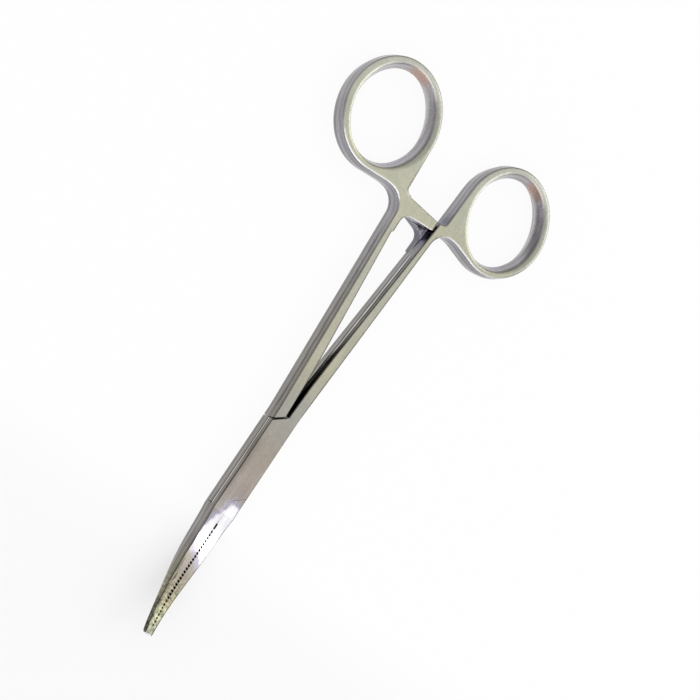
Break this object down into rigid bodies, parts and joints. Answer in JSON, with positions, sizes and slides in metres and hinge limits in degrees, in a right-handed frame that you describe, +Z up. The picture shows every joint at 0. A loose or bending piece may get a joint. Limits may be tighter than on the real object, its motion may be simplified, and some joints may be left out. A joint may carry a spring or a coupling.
{
  "type": "hemostat forceps",
  "caption": "Curved locking forceps: two ring-handled halves crossing in a box lock, with serrated jaws and ratchet bars.",
  "frame": {"origin": "on the box lock's joint axis, at the height of the flat underside that the forceps lies on", "axes": "+X from the joint toward the jaw tip, +Y toward the slotted half's finger ring, +Z up along the joint axis"},
  "size_m": [0.1392, 0.0662, 0.0072],
  "materials": {
    "satin_steel": "satin stainless steel",
    "pin_steel": "stainless steel ground flush"
  },
  "bodies": {
    "slotted_side": {"slotted_half": "satin_steel", "joint_pin": "pin_steel"},
    "tongue_side": {"tongue_half": "satin_steel"}
  },
  "joints": [
    {"name": "box_lock", "type": "hinge", "parent": "slotted_side", "child": "tongue_side", "pos_m": [0, 0, 0.00255], "axis": [0, 0, 1], "range_deg": [0, 40]}
  ]
}
